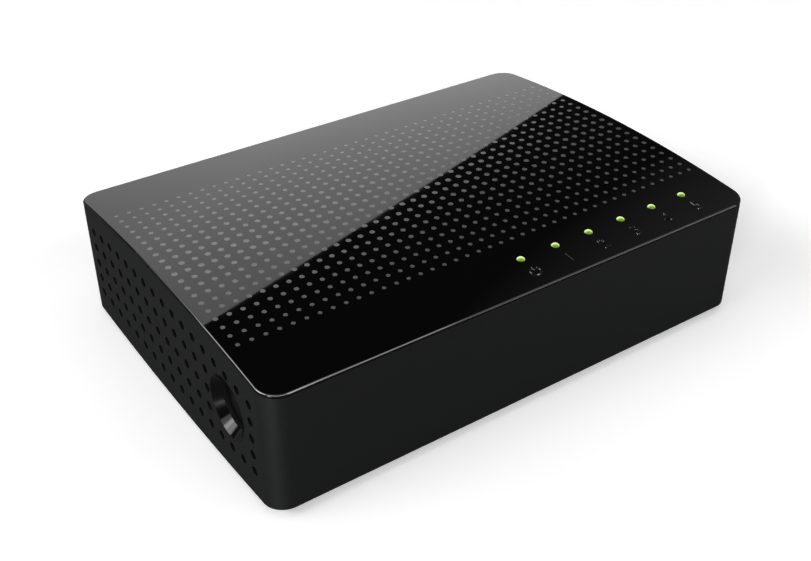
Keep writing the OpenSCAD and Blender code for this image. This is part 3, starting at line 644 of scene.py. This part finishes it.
cover_t, runner_drop, runner_w, runner_h = 1.8 * MM, 1.4 * MM, 1.8 * MM, 1.2 * MM
pipe_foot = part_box("light_pipe")[0].z
dome_steps = 8
turns = [math.asin(light_r / dome_r) * k / dome_steps for k in range(dome_steps + 1)]
bm = bmesh.new()
for x, y in light_places:
    crest = crown_z(y) + dome_h
    arc = [(dome_r * math.sin(t), crest - dome_r * (1 - math.cos(t))) for t in turns]
    side_line = [bm.verts.new((x + r, y, z)) for r, z in arc + [(light_r, pipe_foot), (0, pipe_foot)]]
    edges = [bm.edges.new(pair) for pair in zip(side_line, side_line[1:])]
    bmesh.ops.spin(bm, geom=side_line + edges, cent=(x, y, 0), axis=(0, 0, 1), angle=2 * math.pi,
                   steps=32, use_merge=True)
bmesh.ops.remove_doubles(bm, verts=bm.verts[:], dist=0.001 * MM)
bmesh.ops.recalc_face_normals(bm, faces=bm.faces[:])
pipe = add_piece(bm, "light_pipe_rods", glow_and_highlight_acrylic, ["light_pipe"])
(first_x, light_y), (last_x, light_y) = light_places[0], light_places[-1]
runner_top = crown_z(light_y) - cover_t - runner_drop
runner = bmesh.new()
add_block(runner, (first_x, light_y - runner_w / 2, runner_top - runner_h),
          (last_x, light_y + runner_w / 2, runner_top))
carve(pipe, runner, "UNION")
shade(pipe.data)


# Cover
# Crowned plate of high-gloss black ABS from a polished mould, with a chamfered edge
# above the seam and a hole for each light. Its four posts take the case screws.
# Gloss ABS: nearly black, with a mirror finish and the faint haze of handling.
gloss_abs = grained("gloss_black_abs", "#040404", "#050505", 6 * MM, 0.02, 0.045, sockets={"IOR": 1.5})
# The burnished chamfer round it mirrors the lamps more strongly, as a thin light line.
edge_abs = grained("burnished_black_abs", "#060606", "#080808", 3 * MM, 0.06, 0.1, sockets={"IOR": 1.9})
cover_edge, hole_edge, cover_fit, post_r = 0.17 * MM, 0.04 * MM, 0.2 * MM, 1.9 * MM
bm = crowned_slab(0, lambda y: crown_z(y) - rim_h, crown_z)
bm.normal_update()
rim = [e for e in bm.edges if sorted(f.normal.z > 0.7 for f in e.link_faces) == [False, True]]
chamfer = bmesh.ops.bevel(bm, geom=rim, offset=cover_edge, segments=1, profile=0.5,
                          affect="EDGES", material=-1)
for face in chamfer["faces"]:
    face.material_index = 1
cover = add_piece(bm, "cover", gloss_abs, ["top_cover"])
cover.data.materials.append(edge_abs)
carve(cover, crowned_slab(wall_t + cover_fit, lambda y: crown_z(y) - cover_t,
                          lambda y: crown_z(y) - rim_h / 2), "UNION")
posts = bmesh.new()
for x, y in screw_places:
    top = crown_z(y) - cover_t / 2
    add_rod(posts, (0, 0, 1), (x, y, (boss_top + top) / 2), post_r, top - boss_top, segments=40)
carve(cover, posts, "UNION")
light_fit, screw_r, screw_bite = 0.04 * MM, 1.05 * MM, 5.3 * MM
holes = bmesh.new()
for x, y in light_places:
    add_rod(holes, (0, 0, 1), (x, y, crown_z(y)), light_r + light_fit, 4 * cover_t, segments=32)
for x, y in screw_places:
    add_rod(holes, (0, 0, 1), (x, y, boss_top), screw_r, 2 * screw_bite, segments=32)
# The walls of these holes take the painted shade too.
carve(cover, holes, material=shaded_bore_abs)
ease_edges(cover, hole_edge)


# Cover dots
# A grid of round dots printed on the cover, small at the first and last rows
# and larger towards the middle, flush with the gloss around them.
# Silver ink: metal flakes in grey varnish, paler than the gloss and with a blurred mirror image.
silver_ink = grained("silver_screen_ink", "#6e6e6e", "#787878", 0.15 * MM, 0.22, 0.26,
                     sockets={"Metallic": 0.45, "IOR": 1.6})
dot_pitch, dot_cols, dot_rows = 1.95 * MM, 41, 20
dot_middle_d, dot_end_d = 0.9 * MM, 0.6 * MM
dot_t, dot_proud = 0.04 * MM, 0.004 * MM
bm = bmesh.new()
for row in range(dot_rows):
    y = (row - (dot_rows - 1) / 2) * dot_pitch
    share = 1 - abs(2 * row / (dot_rows - 1) - 1)
    d = dot_end_d + (dot_middle_d - dot_end_d) * share
    slope = math.atan2(crown_z(y - dot_pitch) - crown_z(y + dot_pitch), 2 * dot_pitch)
    for col in range(dot_cols):
        x = (col - (dot_cols - 1) / 2) * dot_pitch
        bmesh.ops.create_cone(
            bm, cap_ends=True, segments=16, radius1=d / 2, radius2=d / 2, depth=dot_t,
            matrix=Matrix.Translation((x, y, crown_z(y) + dot_proud - dot_t / 2))
            @ Matrix.Rotation(-slope, 4, "X"))
add_piece(bm, "cover_dots", silver_ink)


# Cover marks
# A power sign and the numbers 1 to 5, raised a little from the cover in the same moulding,
# each in front of its light, with burnished edges that catch the lamps.
mark_h, mark_y, mark_proud, mark_edge = 1.95 * MM, -26.06 * MM, 0.18 * MM, 0.1 * MM
mark_line, mark_bold = 0.3 * MM, 0.05 * MM
# A digit's height as a share of the type size.
digit_share = 0.7
for number, (x, _) in enumerate(light_places):
    bm = bmesh.new()
    if number == 0:
        # An open ring with an upright bar in its gap.
        ring_r, bar_y, gap = 0.4 * mark_h, 0.28 * mark_h, math.radians(40)
        foot_line = [bm.verts.new((ring_r * math.sin(gap) * k, ring_r * math.cos(gap) * k, 0))
                     for k in (1 - mark_line / ring_r / 2, 1 + mark_line / ring_r / 2)]
        edge = bm.edges.new(foot_line)
        bmesh.ops.spin(bm, geom=foot_line + [edge], cent=(0, 0, 0), axis=(0, 0, -1),
                       angle=2 * math.pi - 2 * gap, steps=28)
        bmesh.ops.create_grid(bm, x_segments=1, y_segments=1, size=0.5, matrix=Matrix.Translation(
            (0, bar_y, 0)) @ Matrix.Diagonal((mark_line, ring_r, 1, 1)))
    else:
        words = bpy.data.curves.new("mark", "FONT")
        words.body = str(number)
        words.align_x, words.align_y = "CENTER", "CENTER"
        words.size = mark_h / digit_share
        words.resolution_u = 4
        words.offset = mark_bold
        written = bpy.data.objects.new("mark", words)
        bm.from_mesh(bpy.data.meshes.new_from_object(written))
        bpy.data.objects.remove(written)
        ends = [v.co.y for v in bm.verts]
        bmesh.ops.translate(bm, verts=bm.verts[:], vec=(0, -(min(ends) + max(ends)) / 2, 0))
        bmesh.ops.remove_doubles(bm, verts=bm.verts[:], dist=0.001 * MM)
    bmesh.ops.recalc_face_normals(bm, faces=bm.faces[:])
    if sum(f.normal.z for f in bm.faces) < 0:
        bmesh.ops.reverse_faces(bm, faces=bm.faces[:])
    raised = bmesh.ops.extrude_face_region(bm, geom=bm.faces[:], use_keep_orig=True)["geom"]
    bmesh.ops.translate(bm, verts=[v for v in raised if isinstance(v, bmesh.types.BMVert)],
                        vec=(0, 0, 2 * mark_proud))
    for v in bm.verts:
        v.co.z += crown_z(mark_y + v.co.y) - mark_proud
    bmesh.ops.translate(bm, verts=bm.verts[:], vec=(x, mark_y, 0))
    bmesh.ops.recalc_face_normals(bm, faces=bm.faces[:])
    mark = add_piece(bm, f"cover_mark_{number}", gloss_abs)
    mark.data.materials.append(edge_abs)
    ease_edges(mark, mark_edge, segments=1, finish=1)


# Case screws
# Four self-tapping steel screws with cross-recessed heads, sunk in the floor of the case,
# which draw the cover down by its posts.
eased_copy("case_screws", "sunk_screws", 0.12 * MM, zinc_steel)
